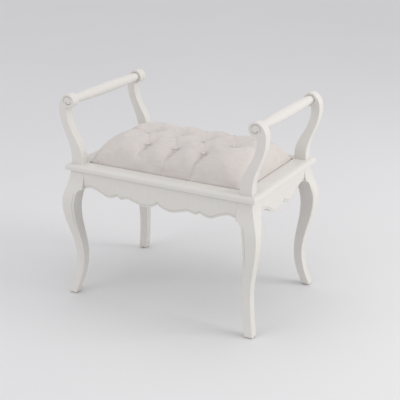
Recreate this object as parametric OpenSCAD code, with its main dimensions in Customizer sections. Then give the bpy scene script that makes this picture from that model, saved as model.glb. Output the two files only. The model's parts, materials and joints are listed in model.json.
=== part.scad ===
// Piano bench: four cabriole legs, scalloped aprons, a moulded seat frame,
// two turned hand rails on scrolled posts, and a buttoned drop-in seat.
// The origin is on the floor under the middle of the bench.
// X runs along the bench, Y from front to back and Z up.

/* [Overall] */
// Length of the seat frame
frame_l = 670; // [560:1:900]
// Depth of the seat frame
frame_d = 452; // [380:1:560]
// Height of the seat frame's flat top above the floor
deck_z = 450; // [380:1:540]

/* [Seat frame] */
// Thickness of the seat frame
frame_t = 20; // [16:1:30]
// How far the frame stands out past the aprons and legs
overhang = 12; // [6:1:20]
// Width of the front and rear frame rails
front_rail_w = 48; // [46:1:60]
// Width of the two side frame rails
side_rail_w = 58; // [56:1:75]
// Width of the rounded moulding along the frame's outer edge
edge_run = 16; // [8:1:16]
// Height of that moulding's upper curve
edge_rise = 9; // [4:1:10]
// Radius under the frame's outer edge
under_r = 4; // [2:0.5:5]

/* [Legs] */
// Side of the square block at the top of a leg
leg_w = 50; // [44:1:56]
// Side of the leg at its ankle and foot
ankle_w = 28; // [24:1:36]
// How far the knee swells out past the side aprons
knee_out_side = 24; // [10:0.5:30]
// How far the knee swells out past the front and rear aprons
knee_out_front = 21.5; // [10:0.5:30]
// Distance from the frame down to the fullest part of the knee
knee_drop = 111; // [95:1:150]
// Height of the ankle above the floor
ankle_z = 128; // [90:1:160]
// How far the ankle pulls in behind the side aprons
ankle_in_side = 5; // [0:0.5:10]
// How far the ankle pulls in behind the front and rear aprons
ankle_in_front = 7.5; // [0:0.5:10]
// How far the toe kicks out past the aprons
toe_out = 16.5; // [8:0.5:28]
// Height of the curved ear under the leg's top block
ear_h = 33; // [24:1:40]

/* [Aprons] */
// Thickness of an apron
apron_t = 20; // [16:1:24]
// Depth of the front and rear aprons where they meet a leg
long_end_h = 59; // [54:1:70]
// Depth of the side aprons where they meet a leg
short_end_h = 46; // [42:1:60]
// Thickness of an apron's tenon
tenon_t = 10; // [6:1:12]
// Wood of the leg left past a tenon's end
tenon_back = 30; // [26:1:36]
// How far the middle cusp of a side apron sits behind the middle of the bench
side_cusp_y = 12; // [0:1:15]
// Wood left above a tenon, so that the mortise is closed
tenon_shoulder = 8; // [6:1:12]
// Wood left below a tenon
tenon_foot = 12; // [8:1:16]
// Gap round a tenon in its mortise
tenon_gap = 0.1; // [0.05:0.05:0.3]

/* [Arms] */
// Thickness of an arm post from front to back
post_t = 31; // [26:1:31]
// Width of an arm post at its foot
post_w = 40; // [34:1:40]
// Width of an arm post just under its scroll
post_neck_w = 28; // [22:1:32]
// How far an arm post's outer edge leans out from its foot to its neck
post_lean = 40; // [25:1:50]
// Height of a post's neck above the seat frame
neck_h = 170; // [140:1:210]
// Radius of the scroll
scroll_r = 22; // [20:0.5:25]
// How far the scroll's centre sits in from the neck's outer edge
scroll_in = 34.5; // [30:0.5:36]
// How far the scroll's centre rises above the neck
scroll_rise = 30.5; // [26:0.5:33]
// Diameter of a hand rail at its ends
rail_end_d = 26; // [20:0.5:30]
// Diameter of a hand rail at its middle
rail_mid_d = 35; // [24:0.5:38]
// Diameter of a hand rail's round tenon
rail_tenon_d = 14; // [10:1:18]
// Length of a hand rail's round tenon
rail_tenon_l = 20; // [14:1:24]
// Gap round a hand rail's tenon
rail_gap = 0.1; // [0.05:0.05:0.3]

/* [Seat] */
// Thickness of the plywood seat board
board_t = 12; // [9:1:15]
// Thickness of the seat fabric with its lining
cover_t = 1.5; // [1:0.25:2]
// Gap between the covered seat and the frame's opening
seat_gap = 1.5; // [1:0.25:3]
// Height of the cushion's crown above the seat frame
crown_h = 87; // [60:1:100]
// Distance between buttons along a row
button_pitch = 100; // [80:1:120]
// Distance between rows of buttons
row_pitch = 103; // [80:1:112]
// Diameter of a covered button
button_d = 18; // [12:1:24]
// How far the buttons are pulled down below the crown
pull_depth = 21; // [12:1:30]
// Thickness of the dust cover under the seat board
dust_t = 0.8; // [0.5:0.1:1]
// Width of the fabric turned in under the seat board
turn_in = 30; // [20:1:40]

/* [Fastenings] */
// Length of a corner block along each apron
block_l = 100; // [90:1:120]
// Thickness of a corner block
block_t = 25; // [20:1:32]
// Diameter of the dowels under the arm posts
dowel_d = 10; // [8:1:12]
// Length of those dowels inside the post
dowel_up = 30; // [20:1:40]
// Length of those dowels inside the leg
dowel_down = 30; // [20:1:40]
// Distance between the two dowels under a post
dowel_pitch = 20; // [16:1:22]
// Diameter of a wood screw's shank
screw_d = 4; // [3:0.5:5]
// Diameter of a wood screw's head
screw_head_d = 8; // [7:0.5:9]
// Depth to which every screw bites into the wood past its block
screw_bite = 12; // [8:1:14]
// Gap round dowels, screws and glide nails in their holes
hole_gap = 0.1; // [0.05:0.05:0.2]
// Thickness of the nail-on glide under each foot
glide_t = 5; // [2:0.5:8]
// Diameter of the glide
glide_d = 22; // [16:1:24]

/* [Hidden] */
$fn = 64;

white = [0.93, 0.92, 0.89];
raw_wood = [0.80, 0.68, 0.50];
linen = [0.88, 0.86, 0.82];
steel = [0.60, 0.61, 0.63];

under_z = deck_z - frame_t;           // underside of the frame, top of legs and aprons
face_x = frame_l / 2 - overhang;      // outer face of the side aprons
face_y = frame_d / 2 - overhang;      // outer face of the front and rear aprons
open_x = frame_l / 2 - side_rail_w;   // half length of the seat opening
open_y = frame_d / 2 - front_rail_w;  // half depth of the seat opening
knee_z = under_z - knee_drop;
over = 1;                             // cutters run past a face by this much
slack = 1;                            // air past the end of a tenon, dowel or screw
tenon_l = leg_w - tenon_back;

// Eases from 0 to 1 along half a cosine as t goes from 0 to 1.
function ease(t) = (1 - cos(180 * min(max(t, 0), 1))) / 2;

// Smooth curve through points, with n steps between each pair.
function between(a, b, c, d, t) = b + (c - a) * t / 2
    + (2 * a - 5 * b + 4 * c - d) * t * t / 2
    + (3 * b - a - 3 * c + d) * t * t * t / 2;
function curve_through(points, n) = let (last = len(points) - 1) [
    for (i = [0:last - 1], j = [0:n - 1])
        between(points[max(i - 1, 0)], points[i], points[i + 1], points[min(i + 2, last)], j / n),
    points[last]
];

// Copies a piece made for the rear right corner to another corner.
module at_corner(side, end) {
    mirror([side < 0 ? 1 : 0, 0, 0]) mirror([0, end < 0 ? 1 : 0, 0]) children();
}
module at_every_corner() {
    for (side = [-1, 1], end = [-1, 1]) at_corner(side, end) children();
}

// ---- Legs: an S curve sawn from two sides of a square blank ----

leg_steps = 30;
inner_steps = 26;
slim_z = 0.8 * ankle_z;   // below this the leg keeps its ankle's size
full_z = under_z - 30;    // above this it has its top block's size
slab_w = 4 * leg_w;       // wide enough to cross the whole leg

// Each leg is drawn twice, as seen from the front (side = 0) and from the end (side = 1).
knees = [knee_out_side, knee_out_front];
ankles = [ankle_in_side, ankle_in_front];
function leg_out(z, side) = let (knee = knees[side], ankle = ankles[side])
    z < ankle_z ? -ankle + (toe_out + ankle) * (1 - cos(90 * (ankle_z - z) / (ankle_z - glide_t)))
    : z < knee_z ? -ankle + (knee + ankle) * ease((z - ankle_z) / (knee_z - ankle_z))
    : knee * (1 - ease((z - knee_z) / (under_z - knee_z)));
function leg_size(z) = ankle_w + (leg_w - ankle_w) * ease((z - slim_z) / (full_z - slim_z));
function leg_in(z, side) = leg_out(z, side) - leg_size(z);

ear_tops = [under_z - long_end_h, under_z - short_end_h];
function leg_outline(side) = let (ear_top = ear_tops[side], ear_end = ear_top - ear_h) concat(
    [for (i = [0:leg_steps]) let (z = glide_t + (under_z - glide_t) * i / leg_steps) [leg_out(z, side), z]],
    [[-leg_w, under_z]],
    [for (a = [0:15:90])
        [-leg_w + (leg_w + leg_in(ear_end, side)) * sin(a), ear_top - ear_h * (1 - cos(a))]],
    [for (i = [1:inner_steps])
        let (z = ear_end + (glide_t - ear_end) * i / inner_steps) [leg_in(z, side), z]]
);

module leg_slab(side) {
    rotate([90, 0, 0]) linear_extrude(height = slab_w, center = true) polygon(leg_outline(side));
}

// Tenon of a front or rear apron at the rear right corner, in bench coordinates.
tenon_in = (apron_t + tenon_t) / 2;   // from an apron's outer face to its tenon's inner face
module long_tenon(gap) {
    foot_z = under_z - long_end_h + tenon_foot;
    translate([face_x - leg_w - over, face_y - tenon_in - gap, foot_z - gap])
        cube([
            tenon_l + over + (gap > 0 ? slack : 0),
            tenon_t + 2 * gap,
            long_end_h - tenon_shoulder - tenon_foot + 2 * gap
        ]);
}

// The same for a side apron.
module short_tenon(gap) {
    foot_z = under_z - short_end_h + tenon_foot;
    translate([face_x - tenon_in - gap, face_y - leg_w - over, foot_z - gap])
        cube([
            tenon_t + 2 * gap,
            tenon_l + over + (gap > 0 ? slack : 0),
            short_end_h - tenon_shoulder - tenon_foot + 2 * gap
        ]);
}

foot_in = toe_out - ankle_w / 2;
nail_d = 2;
nail_l = 14;

module glide(gap) {
    translate([face_x + foot_in, face_y + foot_in, 0]) {
        cylinder(d = glide_d, h = glide_t);
        translate([0, 0, glide_t - over])
            cylinder(d = nail_d + 2 * gap, h = nail_l + over + (gap > 0 ? slack : 0));
    }
}

module leg() {
    color(white) difference() {
        translate([face_x, face_y, 0]) intersection() {
            leg_slab(0);
            mirror([1, -1, 0]) leg_slab(1);
        }
        long_tenon(tenon_gap);
        short_tenon(tenon_gap);
        post_dowel_pair(hole_gap);
        glide(hole_gap);
    }
}

// ---- Aprons ----

// A lower edge is a list of [share of the way from its middle cusp to the leg, depth].

long_half = face_x - leg_w;
short_half = face_y - leg_w;
curve_steps = 5;
long_scallop_middle = [
    [0, 61], [0.05, 71], [0.165, 79], [0.28, 73.5], [0.385, 65.5], [0.44, 67.5], [0.49, 71], [0.542, 63]
];
long_scallop_end = [
    [0.542, 63], [0.60, 70], [0.678, 72.5], [0.77, 62], [0.88, 52], [0.95, 54], [1, long_end_h]
];
short_scallop = [
    [0, 62], [0.08, 71], [0.29, 80], [0.50, 70], [0.68, 52], [0.82, 44], [0.93, 43], [1, short_end_h]
];

function lower_edge(scallops, cusp, end) = [
    for (scallop = scallops, p = curve_through(scallop, curve_steps))
        [cusp + p[0] * (end - cusp), under_z - p[1]]
];
function reversed(points) = [for (i = [len(points) - 1:-1:0]) points[i]];

module apron_board(scallops, cusp, half) {
    rotate([90, 0, 0]) linear_extrude(height = apron_t) polygon(concat(
        [[half, under_z], [-half, under_z]],
        reversed(lower_edge(scallops, cusp, -half)),
        lower_edge(scallops, cusp, half)
    ));
}

// Rear apron, with its outer face at +face_y.
module long_apron() {
    color(white) difference() {
        union() {
            translate([0, face_y, 0]) apron_board([long_scallop_middle, long_scallop_end], 0, long_half);
            for (side = [-1, 1]) at_corner(side, 1) long_tenon(0);
        }
        for (side = [-1, 1]) at_corner(side, 1) block_screw_y(hole_gap);
    }
}

// Right apron, with its outer face at +face_x.
module short_apron() {
    color(white) difference() {
        union() {
            translate([face_x - apron_t, 0, 0]) rotate([0, 0, 90])
                apron_board([short_scallop], side_cusp_y, short_half);
            for (end = [-1, 1]) at_corner(1, end) short_tenon(0);
        }
        for (end = [-1, 1]) at_corner(1, end) block_screw_x(hole_gap);
    }
}

// ---- Seat frame: four mitred, moulded rails ----

// Section of a rail of width w, with its outer edge at u = 0 and the opening at u = -w.
function rail_section(w) = concat(
    [[-w, deck_z], [-w, under_z]],
    [for (a = [-90:15:0]) [-under_r + under_r * cos(a), under_z + under_r + under_r * sin(a)]],
    [for (a = [0:10:90]) [-edge_run + edge_run * cos(a), deck_z - edge_rise + edge_rise * sin(a)]]
);

module rail_bar(w, length) {
    rotate([90, 0, 0]) linear_extrude(height = length, center = true) polygon(rail_section(w));
}

module mitre_wedge(side_rail) {
    outer = [frame_l / 2, frame_d / 2];
    inner = [open_x, open_y];
    translate([0, 0, under_z - over]) linear_extrude(height = frame_t + 2 * over)
        polygon(side_rail
            ? [[outer[0], -outer[1]], outer, inner, [inner[0], -inner[1]]]
            : [outer, [-outer[0], outer[1]], [-inner[0], inner[1]], inner]);
}

// Rear frame rail.
module long_top_rail() {
    color(white) difference() {
        intersection() {
            translate([0, frame_d / 2, 0]) rotate([0, 0, 90]) rail_bar(front_rail_w, frame_l);
            mitre_wedge(false);
        }
        for (side = [-1, 1]) at_corner(side, 1) {
            post_dowel_pair(hole_gap);
            frame_screw_pair(hole_gap);
        }
    }
}

// Right frame rail.
module short_top_rail() {
    color(white) difference() {
        intersection() {
            translate([frame_l / 2, 0, 0]) rail_bar(side_rail_w, frame_d);
            mitre_wedge(true);
        }
        for (end = [-1, 1]) at_corner(1, end) {
            post_dowel_pair(hole_gap);
            frame_screw_pair(hole_gap);
        }
    }
}

// ---- Arms ----

post_x = frame_l / 2 - edge_run - post_w / 2;  // middle of a post's foot
post_y = frame_d / 2 - edge_run - post_t / 2;
neck_z = deck_z + neck_h;
post_steps = 18;
straight_h = 20;                               // the post rises straight for this much
slim_h = neck_h - 40;                          // and is down to its neck's width here
function post_outer(h) = post_x + post_w / 2 + post_lean * ease((h - straight_h) / (neck_h - straight_h));
function post_inner(h) = post_outer(h) - post_w
    + (post_w - post_neck_w) * ease((h - straight_h) / (slim_h - straight_h));

scroll_x = post_outer(neck_h) - scroll_in;
scroll_z = neck_z + scroll_rise;
volute_from = -atan2(scroll_rise, scroll_in);
volute_grow = norm([scroll_rise, scroll_in]) - scroll_r;
volute_power = 3.2;
function volute_r(a) = scroll_r + volute_grow * pow((90 - a) / (90 - volute_from), volute_power);

post_outline = concat(
    [for (i = [0:post_steps - 1]) let (h = neck_h * i / post_steps) [post_outer(h), deck_z + h]],
    [for (i = [0:10]) let (a = volute_from + (90 - volute_from) * i / 10)
        [scroll_x + volute_r(a) * cos(a), scroll_z + volute_r(a) * sin(a)]],
    [[scroll_x, scroll_z]],
    [for (i = [post_steps:-1:0]) let (h = neck_h * i / post_steps) [post_inner(h), deck_z + h]]
);

module arm_post() {
    color(white) difference() {
        translate([0, post_y + post_t / 2, 0]) rotate([90, 0, 0]) linear_extrude(height = post_t) union() {
            polygon(post_outline);
            translate([scroll_x, scroll_z]) circle(r = scroll_r);
        }
        translate([scroll_x, post_y - post_t / 2 - over, scroll_z]) rotate([-90, 0, 0])
            cylinder(d = rail_tenon_d + 2 * rail_gap, h = over + rail_tenon_l + slack);
        post_dowel_pair(hole_gap);
    }
}

rail_half = post_y - post_t / 2;
rail_end = rail_half + rail_tenon_l;
rail_steps = 12;
// Radius of the hand rail at share u of the way from its middle to its end.
function hand_rail_r(u) =
    rail_end_d / 2 + (rail_mid_d - rail_end_d) / 2 * sin(90 * min(1, 1.25 * (1 - abs(u))));

module arm_rail() {
    color(white) translate([scroll_x, 0, scroll_z]) rotate([-90, 0, 0]) rotate_extrude()
        polygon(concat(
            [[0, -rail_end], [rail_tenon_d / 2, -rail_end], [rail_tenon_d / 2, -rail_half]],
            [for (i = [-rail_steps:rail_steps]) [hand_rail_r(i / rail_steps), rail_half * i / rail_steps]],
            [[rail_tenon_d / 2, rail_half], [rail_tenon_d / 2, rail_end], [0, rail_end]]
        ));
}

dowel_z = under_z - dowel_down;
dowel_l = dowel_down + frame_t + dowel_up;
dowel_y = face_y - (tenon_in + tenon_back - slack) / 2;  // midway between the two tenons in the leg

module post_dowel_pair(gap) {
    air = gap > 0 ? slack : 0;
    for (dx = [-dowel_pitch / 2, dowel_pitch / 2])
        translate([post_x + dx, dowel_y, dowel_z - air])
            cylinder(d = dowel_d + 2 * gap, h = dowel_l + 2 * air);
}

// ---- Corner blocks and their screws ----

corner_x = face_x - apron_t;  // the inner corner that the aprons would make
corner_y = face_y - apron_t;
block_z = under_z - block_t;
leg_clear = 1;
head_in = 6;                  // depth of the counterbore over a screw's head
head_h = 3;
screw_off = 69;               // from the inner corner to the screw that runs into an apron
rise_off = 84;                // from the inner corner to the screw that runs up into the frame
seat_off = 40;                // from each apron to the screw that runs up into the seat

// Screw along +Z from the origin, its head's flat face at z = 0.
module screw(length, gap) {
    air = gap > 0 ? slack : 0;
    cylinder(d = screw_d + 2 * gap, h = length + air);
    cylinder(d1 = screw_head_d + 2 * gap, d2 = screw_d + 2 * gap, h = head_h);
    if (gap > 0) translate([0, 0, -block_l]) cylinder(d = screw_head_d + 2 * gap, h = block_l + 0.01);
}

cross_z = under_z - block_t / 2 - 3;  // just below the middle of the block
cross_run = block_l - screw_off;  // wood that a cross screw passes through in the block
module block_screw_x(gap) {
    translate([corner_x - cross_run + head_in, corner_y - screw_off, cross_z]) rotate([0, 90, 0])
        screw(cross_run - head_in + screw_bite, gap);
}
module block_screw_y(gap) {
    translate([corner_x - screw_off, corner_y - cross_run + head_in, cross_z]) rotate([-90, 0, 0])
        screw(cross_run - head_in + screw_bite, gap);
}

frame_screw_in = 8;               // from the aprons in to the screws that rise beside them
module frame_screw_pair(gap) {
    for (spot = [[frame_screw_in, rise_off], [rise_off, frame_screw_in]])
        translate([corner_x - spot[0], corner_y - spot[1], block_z + head_in])
            screw(block_t - head_in + screw_bite, gap);
}

tip_wood = 4;                     // board left above a seat screw's tip
module seat_screw(gap) {
    translate([corner_x - seat_off, corner_y - seat_off, block_z + head_in])
        screw(block_t - head_in + dust_t + cover_t + board_t - tip_wood, gap);
}

module corner_block() {
    color(raw_wood) difference() {
        translate([0, 0, block_z]) linear_extrude(height = block_t) polygon([
            [corner_x, corner_y - block_l], [corner_x, face_y - leg_w - leg_clear],
            [face_x - leg_w - leg_clear, face_y - leg_w - leg_clear],
            [face_x - leg_w - leg_clear, corner_y], [corner_x - block_l, corner_y]
        ]);
        block_screw_x(hole_gap);
        block_screw_y(hole_gap);
        frame_screw_pair(hole_gap);
        seat_screw(hole_gap);
    }
}

// ---- Seat ----

board_x = open_x - seat_gap - cover_t;
board_y = open_y - seat_gap - cover_t;
margin_z = under_z + dust_t;
board_z = margin_z + cover_t;
foam_z = board_z + board_t;
crown_z = deck_z + crown_h;
button_z = crown_z - pull_depth;
corner_r = 12;         // corners of the covered seat, seen from above
board_r = corner_r + 2;
pit_top_r = 30;
twine_d = 2;
twine_hole_d = 3;
knot_d = 8;
knot_t = 1;
button_rise = 5;
button_rim = 1;        // height of a button's upright edge
pit_floor_d = button_d + 2;
dust_inset = 10;       // from the board's edge to the dust cover's

// Rows of buttons run along X; the middle row is staggered by half a pitch.
button_places = concat(
    [for (row = [-1, 1], i = [-1:1]) [i * button_pitch, row * row_pitch]],
    [for (i = [-1.5:1.5]) [i * button_pitch, 0]]
);
module at_every_button() {
    for (place = button_places) translate([place[0], place[1], 0]) children();
}

// The crown's half length, half depth and corner radius at share t of its height.
// Its two sections bulge between an ellipse (2, 2) and a box, and its corners round off as it rises.
end_bulge = [4.7, 2.7];    // the section along the bench
front_bulge = [2.65, 1.85]; // the section from front to back
function pad_x(t) = board_x * pow(1 - pow(t, end_bulge[1]), 1 / end_bulge[0]);
function pad_y(t) = board_y * pow(1 - pow(t, front_bulge[1]), 1 / front_bulge[0]);
round_t = 0.6;             // the corners are fully round from here up
function pad_r(t) = min(corner_r + (board_y / 2 - corner_r) * min(1, t / round_t), 0.88 * pad_y(t));
crown_levels = [0.08, 0.2, 0.35, 0.5, 0.65, 0.78, 0.88, 0.95, 1];
flat_t = 0.97;             // the top is cut flat here
slice = 0.5;               // height of each layer that the crown is wrapped round

// Crowned pad from z = low up, standing grow outside the foam all round.
module pad_form(low, grow) {
    hull() for (sx = [-1, 1], sy = [-1, 1]) {
        translate([sx * (board_x + grow - corner_r), sy * (board_y + grow - corner_r), low])
            cylinder(r = corner_r, h = deck_z - low, $fn = 32);
        for (level = crown_levels) let (t = flat_t * level, r = pad_r(t), x = pad_x(t), y = pad_y(t))
            translate([
                sx * (x + grow - r),
                sy * (y + grow - r),
                deck_z + (crown_h - cover_t) * level + grow - slice
            ]) cylinder(r = r, h = slice, $fn = 32);
    }
}

module pits(depth, grow) {
    at_every_button() translate([0, 0, button_z - depth])
        cylinder(r1 = pit_floor_d / 2 + grow, r2 = pit_top_r + grow, h = 1.5 * pull_depth + depth);
}

module foam_pad() {
    color([0.95, 0.90, 0.70]) difference() {
        pad_form(foam_z, 0);
        pits(cover_t, cover_t);
        at_every_button() translate([0, 0, foam_z - over]) cylinder(d = twine_hole_d, h = crown_h);
    }
}

module seat_cover() {
    color(linen) {
        difference() {
            pad_form(margin_z, cover_t);
            difference() {
                pad_form(margin_z + cover_t, 0);
                pits(cover_t, cover_t);
            }
            pits(0, 0);
            translate([turn_in - board_x, turn_in - board_y, margin_z - over])
                cube([2 * (board_x - turn_in), 2 * (board_y - turn_in), cover_t + 2 * over]);
            at_every_button() translate([0, 0, button_z - cover_t - over])
                cylinder(d = twine_hole_d, h = cover_t + 2 * over);
            at_every_corner() seat_screw(hole_gap);
        }
    }
}

module seat_board() {
    color(raw_wood) difference() {
        translate([0, 0, board_z]) linear_extrude(height = board_t) difference() {
            square([2 * board_x, 2 * board_y], center = true);
            for (sx = [-1, 1], sy = [-1, 1]) mirror([sx < 0 ? 1 : 0, 0]) mirror([0, sy < 0 ? 1 : 0])
                translate([board_x - board_r, board_y - board_r]) difference() {
                    square(board_r + over);
                    circle(r = board_r);
                }
        }
        at_every_button() translate([0, 0, board_z - over])
            cylinder(d = twine_hole_d, h = board_t + 2 * over);
        at_every_corner() seat_screw(hole_gap);
    }
}

module dust_cover() {
    color([0.15, 0.15, 0.16]) difference() {
        translate([0, 0, under_z]) linear_extrude(height = dust_t)
            square([2 * (board_x - dust_inset), 2 * (board_y - dust_inset)], center = true);
        at_every_corner() seat_screw(hole_gap);
    }
}

module tuft_buttons() {
    color(linen) at_every_button() translate([0, 0, button_z]) rotate_extrude() polygon(concat(
        [[0, 0]],
        [for (a = [0:10:90]) [button_d / 2 * cos(a), button_rim + (button_rise - button_rim) * sin(a)]],
        [[0, button_rise]]
    ));
}

module button_twine() {
    color([0.80, 0.76, 0.66]) at_every_button() {
        translate([0, 0, board_z - knot_t]) cylinder(d = twine_d, h = button_z - board_z + knot_t);
        translate([0, 0, board_z - knot_t]) cylinder(d = knot_d, h = knot_t);
    }
}

at_corner(-1, -1) leg();  // leg_front_left
at_corner(1, -1) leg();  // leg_front_right
at_corner(-1, 1) leg();  // leg_rear_left
at_corner(1, 1) leg();  // leg_rear_right
at_corner(1, -1) long_apron();  // apron_front
long_apron();  // apron_rear
at_corner(-1, 1) short_apron();  // apron_left
short_apron();  // apron_right
at_corner(1, -1) long_top_rail();  // top_rail_front
long_top_rail();  // top_rail_rear
at_corner(-1, 1) short_top_rail();  // top_rail_left
short_top_rail();  // top_rail_right
at_corner(-1, -1) arm_post();  // arm_post_front_left
at_corner(1, -1) arm_post();  // arm_post_front_right
at_corner(-1, 1) arm_post();  // arm_post_rear_left
at_corner(1, 1) arm_post();  // arm_post_rear_right
at_corner(-1, 1) arm_rail();  // arm_rail_left
arm_rail();  // arm_rail_right
at_corner(-1, -1) corner_block();  // corner_block_front_left
at_corner(1, -1) corner_block();  // corner_block_front_right
at_corner(-1, 1) corner_block();  // corner_block_rear_left
at_corner(1, 1) corner_block();  // corner_block_rear_right
seat_board();
foam_pad();
seat_cover();
tuft_buttons();
button_twine();
dust_cover();
color(raw_wood) at_every_corner() post_dowel_pair(0);  // post_dowels
color(steel) at_every_corner() {  // block_screws
    block_screw_x(0);
    block_screw_y(0);
}
color(steel) at_every_corner() frame_screw_pair(0);  // frame_screws
color(steel) at_every_corner() seat_screw(0);  // seat_screws
color([0.85, 0.84, 0.82]) at_every_corner() glide(0);  // foot_glides
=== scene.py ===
# %% [markdown]
# # A painted piano bench with a buttoned seat
# The bench is a joiner's piece with an upholstered lid. Four cabriole legs carry
# scalloped aprons and a moulded seat frame, two scrolled posts at each end hold a
# turned hand rail, and a deep-buttoned cushion drops into the frame.
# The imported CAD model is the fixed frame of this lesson: it says where every piece
# goes. Pieces that show are modelled again here with eased edges and carving.

import json
import math

import bmesh
import bpy
import numpy as np
from mathutils import Matrix, Vector


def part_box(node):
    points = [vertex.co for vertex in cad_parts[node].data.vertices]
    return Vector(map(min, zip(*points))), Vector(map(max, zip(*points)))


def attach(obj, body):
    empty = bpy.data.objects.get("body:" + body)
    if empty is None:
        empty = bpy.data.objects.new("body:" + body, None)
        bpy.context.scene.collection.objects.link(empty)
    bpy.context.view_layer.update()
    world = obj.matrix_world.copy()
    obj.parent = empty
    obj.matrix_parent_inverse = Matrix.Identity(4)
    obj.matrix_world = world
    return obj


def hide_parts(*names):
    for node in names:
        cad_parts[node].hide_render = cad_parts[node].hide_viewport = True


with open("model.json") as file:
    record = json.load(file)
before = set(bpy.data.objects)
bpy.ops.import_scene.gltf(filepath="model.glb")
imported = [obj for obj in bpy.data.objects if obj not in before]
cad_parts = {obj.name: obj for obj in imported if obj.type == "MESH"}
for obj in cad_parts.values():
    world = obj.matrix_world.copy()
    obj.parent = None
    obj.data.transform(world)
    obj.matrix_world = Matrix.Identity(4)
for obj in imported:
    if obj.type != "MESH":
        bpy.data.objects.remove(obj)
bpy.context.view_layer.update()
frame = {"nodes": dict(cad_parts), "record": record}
MM = 0.001

# %% [markdown]
# ## Where things are
# The places below are read from the frame's own nodes, so that a piece made here
# sits exactly where its CAD node does. The legs and aprons share their outer faces.
# A width or a rounding that a node's box can't tell is named beside its piece.

# %% Measure the frame
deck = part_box("top_rail_front")[1].z
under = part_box("top_rail_front")[0].z
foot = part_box("leg_front_right")[0].z
face_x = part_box("apron_right")[1].x
face_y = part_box("apron_rear")[1].y
half_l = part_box("top_rail_right")[1].x
half_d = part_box("top_rail_rear")[1].y
CORNERS = {
    "front_left": (-1, -1), "front_right": (1, -1),
    "rear_left": (-1, 1), "rear_right": (1, 1),
}
print(f"deck {deck:.3f}, underside {under:.3f}, faces {face_x:.3f} x {face_y:.3f}")

# %% [markdown]
# ## The camera and the light
# The bench is seen from its front right and from about 20 degrees above, through
# a long lens, which keeps its verticals nearly parallel. A big soft light stands to the
# right, so the right-hand faces are bright and the front faces fall into half
# shade. A pale floor runs on past the frame, as studio paper does.

# %% Camera
AZIMUTH, ELEVATION = math.radians(29.2), math.radians(20.39)
CAMERA_PLACE = (1.4461, -2.5328, 1.3979)
SENSOR_W, FOCAL_LENGTH = 36, 85.9  # in millimetres, as a camera has them
camera = bpy.data.objects.new("camera", bpy.data.cameras.new("camera"))
bpy.context.collection.objects.link(camera)
camera.location = CAMERA_PLACE
looking = Vector((
    -math.sin(AZIMUTH) * math.cos(ELEVATION),
    math.cos(AZIMUTH) * math.cos(ELEVATION),
    -math.sin(ELEVATION),
))
camera.rotation_euler = looking.to_track_quat("-Z", "Y").to_euler()
camera.data.sensor_width = SENSOR_W
camera.data.lens = FOCAL_LENGTH
bpy.context.scene.camera = camera
print("camera at", tuple(round(v, 2) for v in camera.location))


# %% Colours
def srgb(value):
    """Turn an sRGB hex value into the linear colour that a shader works in."""
    parts = [int(value[i:i + 2], 16) / 255 for i in (1, 3, 5)]
    return tuple(p / 12.92 if p <= 0.04045 else ((p + 0.055) / 1.055) ** 2.4 for p in parts) + (1.0,)


# %% Lights
def soft_light(name, place, target, size, watts, colour):
    """Hang a square area light at a place, turned to a target."""
    light = bpy.data.lights.new(name, "AREA")
    light.size, light.energy, light.color = size, watts, srgb(colour)[:3]
    lamp = bpy.data.objects.new(name, light)
    bpy.context.collection.objects.link(lamp)
    lamp.location = place
    lamp.rotation_euler = (Vector(target) - Vector(place)).to_track_quat("-Z", "Y").to_euler()


soft_light("key", (3.2, 0.7, 1.9), (0, 0, 0.35), size=1.8, watts=46, colour="#fffdfa")
soft_light("fill", (-1.6, -3.2, 2.2), (0, 0, 0.3), size=2.4, watts=20, colour="#fdfdff")
soft_light("overhead", (0.0, 0.3, 3.2), (0, 0, 0.3), size=2.2, watts=5, colour="#ffffff")

world = bpy.data.worlds.new("studio air")
world.use_nodes = True
world.node_tree.nodes["Background"].inputs["Color"].default_value = srgb("#e4e4e6")
world.node_tree.nodes["Background"].inputs["Strength"].default_value = 1.0
bpy.context.scene.world = world
bpy.context.scene.view_settings.view_transform = "Standard"

# %% [markdown]
# ## Building materials
# A material here is a small tree of nodes. One function adds a node: it sets the
# node's options, the values of its sockets and the links that feed it.


# %% Node helpers
def add(tree, kind, values=None, links=None, **options):
    """Add one node to a tree, with its options, socket values and incoming links."""
    made = tree.nodes.new(kind)
    for name, option in options.items():
        setattr(made, name, option)
    for socket, value in (values or {}).items():
        made.inputs[socket].default_value = value
    for socket, source in (links or {}).items():
        tree.links.new(source, made.inputs[socket])
    return made


def new_material(name):
    """Make an empty material and return it with its tree and its object coordinates."""
    material = bpy.data.materials.new(name)
    material.use_nodes = True
    tree = material.node_tree
    tree.nodes.clear()
    return material, tree, add(tree, "ShaderNodeTexCoord").outputs["Object"]


def close_material(tree, links, **values):
    """Finish a tree with its shader, whose constant sockets are given by name."""
    sockets = {name.replace("_", " "): value for name, value in values.items()}
    shader = add(tree, "ShaderNodeBsdfPrincipled", sockets, links)
    add(tree, "ShaderNodeOutputMaterial", links={"Surface": shader.outputs["BSDF"]})


def blend(tree, factor, low, high):
    """Mix two colours, each a constant or a socket, by a factor socket or number."""
    mix = add(tree, "ShaderNodeMix", data_type="RGBA", blend_type="MIX")
    for index, value in ((0, factor), (6, low), (7, high)):
        if isinstance(value, bpy.types.NodeSocket):
            tree.links.new(value, mix.inputs[index])
        else:
            mix.inputs[index].default_value = value
    return mix.outputs[2]


def remap(tree, source, low, high, to_low=0.0, to_high=1.0):
    """Stretch a value from one range to another."""
    ends = {1: low, 2: high, 3: to_low, 4: to_high}
    return add(tree, "ShaderNodeMapRange", ends, {0: source}).outputs[0]


# %% [markdown]
# ## Studio paper
# The floor is a wide sheet of matt pale grey paper. It takes soft shadows and has
# a very faint mottle, so that it doesn't look like a flat fill.

# %% Floor
FLOOR_REACH = 16.0  # metres from its middle to each edge
MOTTLE = 0.9  # cells of the mottle to a metre

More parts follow.
